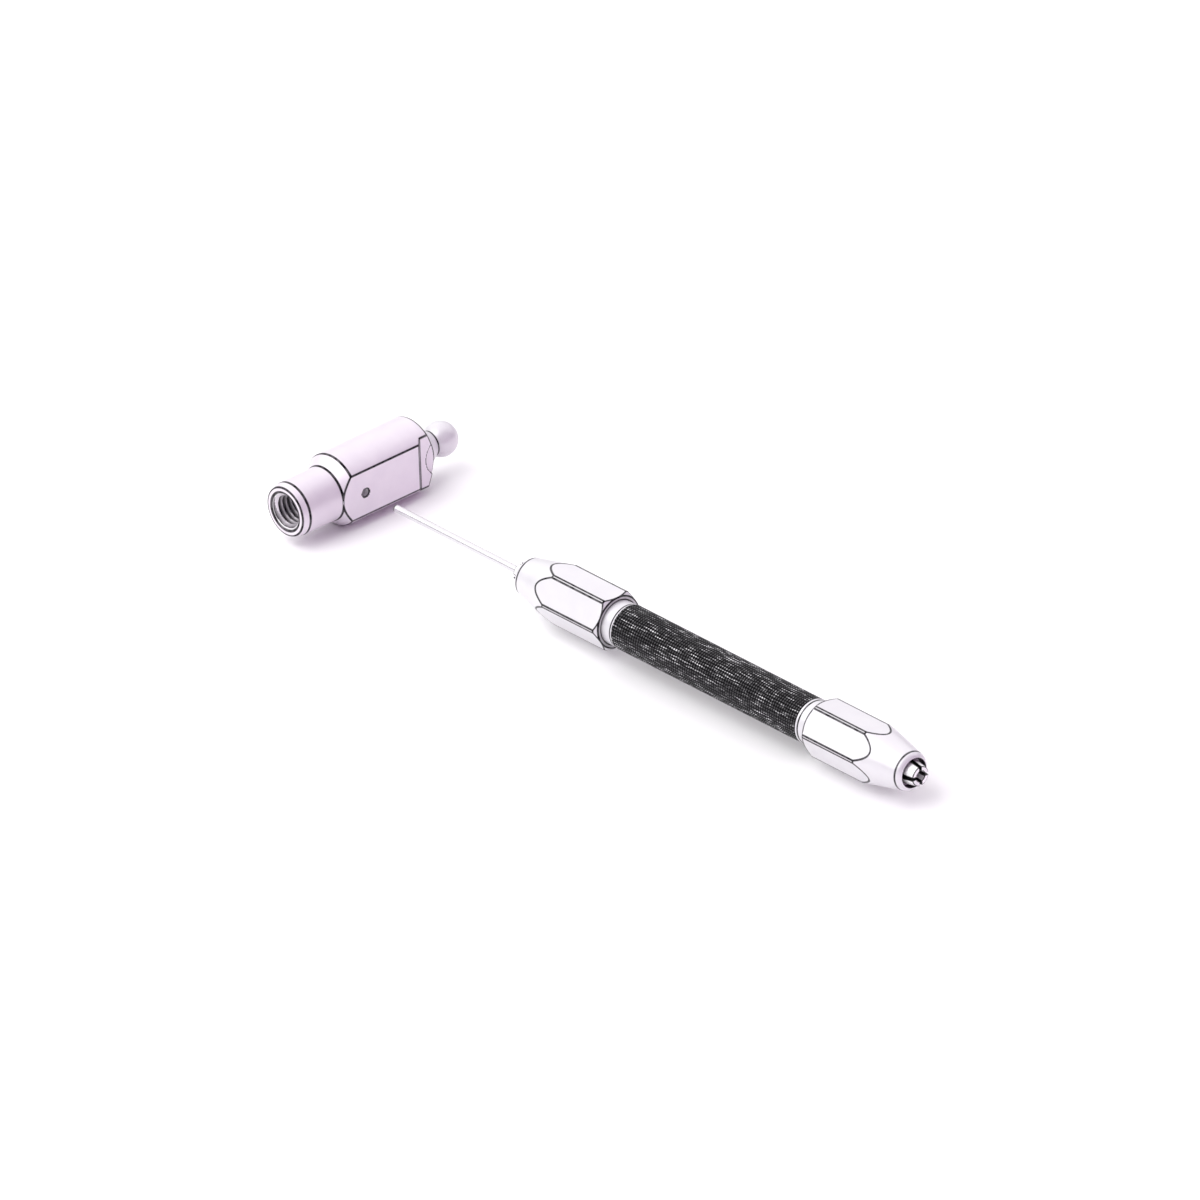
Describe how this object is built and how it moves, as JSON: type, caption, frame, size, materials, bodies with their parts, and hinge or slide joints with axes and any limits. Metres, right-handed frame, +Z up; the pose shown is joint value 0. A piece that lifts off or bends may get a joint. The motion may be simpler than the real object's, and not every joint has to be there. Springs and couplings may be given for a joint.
{
  "type": "tap wrench",
  "caption": "Threaded tool head with wrench flats, cross hole and ball end, turned by the pin of a slim knurled collet handle.",
  "frame": {"origin": "under the middle of the whole object, on the plane that the head's lowest line rests on", "axes": "+X along the handle from the head to the far nut, +Y along the head's axis from its threaded spigot to its ball, +Z up"},
  "size_m": [0.1838, 0.0472, 0.016],
  "materials": {
    "satin_steel": "satin nickel-plated steel",
    "nut_steel": "satin nickel-plated steel with machined hexagon flats",
    "polished_steel": "polished hardened steel",
    "pin_steel": "ground and polished hardened steel",
    "spring_steel": "ground spring steel",
    "black_oxide_knurl": "black oxide over a fine straight and ring knurl"
  },
  "bodies": {
    "barrel": {"barrel": "black_oxide_knurl", "front_collet": "spring_steel", "rear_collet": "spring_steel"},
    "front_closing_ring": {"front_closing_ring": "spring_steel"},
    "front_nut": {"front_nut": "nut_steel"},
    "front_jaw_1": {"front_jaw_1": "spring_steel"},
    "front_jaw_2": {"front_jaw_2": "spring_steel"},
    "front_jaw_3": {"front_jaw_3": "spring_steel"},
    "front_jaw_4": {"front_jaw_4": "spring_steel"},
    "rear_closing_ring": {"rear_closing_ring": "spring_steel"},
    "rear_nut": {"rear_nut": "nut_steel"},
    "rear_jaw_1": {"rear_jaw_1": "spring_steel"},
    "rear_jaw_2": {"rear_jaw_2": "spring_steel"},
    "rear_jaw_3": {"rear_jaw_3": "spring_steel"},
    "rear_jaw_4": {"rear_jaw_4": "spring_steel"},
    "pin": {"pin": "pin_steel"},
    "head": {"head_body": "satin_steel", "ball_stud": "polished_steel"}
  },
  "joints": [
    {"name": "front_nut_turn", "type": "hinge", "parent": "front_closing_ring", "child": "front_nut", "pos_m": [-0.01, -0.00641, 0.008], "axis": [-1, 0, 0], "range_deg": [0, 720]},
    {"name": "front_ring_travel", "type": "slide", "parent": "barrel", "child": "front_closing_ring", "axis": [-1, 0, 0], "range_m": [0, 0.00161]},
    {"name": "front_jaw_1_flex", "type": "hinge", "parent": "barrel", "child": "front_jaw_1", "pos_m": [-0.015, -0.00528, 0.00913], "axis": [0, 0.7071, -0.7071], "range_deg": [0, 1.2]},
    {"name": "front_jaw_2_flex", "type": "hinge", "parent": "barrel", "child": "front_jaw_2", "pos_m": [-0.015, -0.00528, 0.00687], "axis": [0, -0.7071, -0.7071], "range_deg": [0, 1.2]},
    {"name": "front_jaw_3_flex", "type": "hinge", "parent": "barrel", "child": "front_jaw_3", "pos_m": [-0.015, -0.00755, 0.00687], "axis": [0, -0.7071, 0.7071], "range_deg": [0, 1.2]},
    {"name": "front_jaw_4_flex", "type": "hinge", "parent": "barrel", "child": "front_jaw_4", "pos_m": [-0.015, -0.00755, 0.00913], "axis": [0, 0.7071, 0.7071], "range_deg": [0, 1.2]},
    {"name": "rear_nut_turn", "type": "hinge", "parent": "rear_closing_ring", "child": "rear_nut", "pos_m": [0.07, -0.00641, 0.008], "axis": [1, 0, 0], "range_deg": [-180, 720]},
    {"name": "rear_ring_travel", "type": "slide", "parent": "barrel", "child": "rear_closing_ring", "axis": [1, 0, 0], "range_m": [-0.0004, 0.00161]},
    {"name": "rear_jaw_1_flex", "type": "hinge", "parent": "barrel", "child": "rear_jaw_1", "pos_m": [0.075, -0.00755, 0.00913], "axis": [0, -0.7071, -0.7071], "range_deg": [-0.3, 1.2]},
    {"name": "rear_jaw_2_flex", "type": "hinge", "parent": "barrel", "child": "rear_jaw_2", "pos_m": [0.075, -0.00755, 0.00687], "axis": [0, 0.7071, -0.7071], "range_deg": [-0.3, 1.2]},
    {"name": "rear_jaw_3_flex", "type": "hinge", "parent": "barrel", "child": "rear_jaw_3", "pos_m": [0.075, -0.00528, 0.00687], "axis": [0, 0.7071, 0.7071], "range_deg": [-0.3, 1.2]},
    {"name": "rear_jaw_4_flex", "type": "hinge", "parent": "barrel", "child": "rear_jaw_4", "pos_m": [0.075, -0.00528, 0.00913], "axis": [0, -0.7071, 0.7071], "range_deg": [-0.3, 1.2]},
    {"name": "pin_slide", "type": "slide", "parent": "barrel", "child": "pin", "axis": [1, 0, 0], "range_m": [-0.012, 0.024]},
    {"name": "head_onto_pin", "type": "slide", "parent": "pin", "child": "head", "axis": [1, 0, 0], "range_m": [0, 0.0215]}
  ],
  "couplings": [
    {"joint": "front_ring_travel", "follows": "front_nut_turn", "m_per_rad": 0.00011937},
    {"joint": "front_jaw_1_flex", "follows": "front_nut_turn", "ratio": 0.0015278},
    {"joint": "front_jaw_2_flex", "follows": "front_nut_turn", "ratio": 0.0015278},
    {"joint": "front_jaw_3_flex", "follows": "front_nut_turn", "ratio": 0.0015278},
    {"joint": "front_jaw_4_flex", "follows": "front_nut_turn", "ratio": 0.0015278},
    {"joint": "rear_ring_travel", "follows": "rear_nut_turn", "m_per_rad": 0.00011937},
    {"joint": "rear_jaw_1_flex", "follows": "rear_nut_turn", "ratio": 0.0015278},
    {"joint": "rear_jaw_2_flex", "follows": "rear_nut_turn", "ratio": 0.0015278},
    {"joint": "rear_jaw_3_flex", "follows": "rear_nut_turn", "ratio": 0.0015278},
    {"joint": "rear_jaw_4_flex", "follows": "rear_nut_turn", "ratio": 0.0015278}
  ]
}
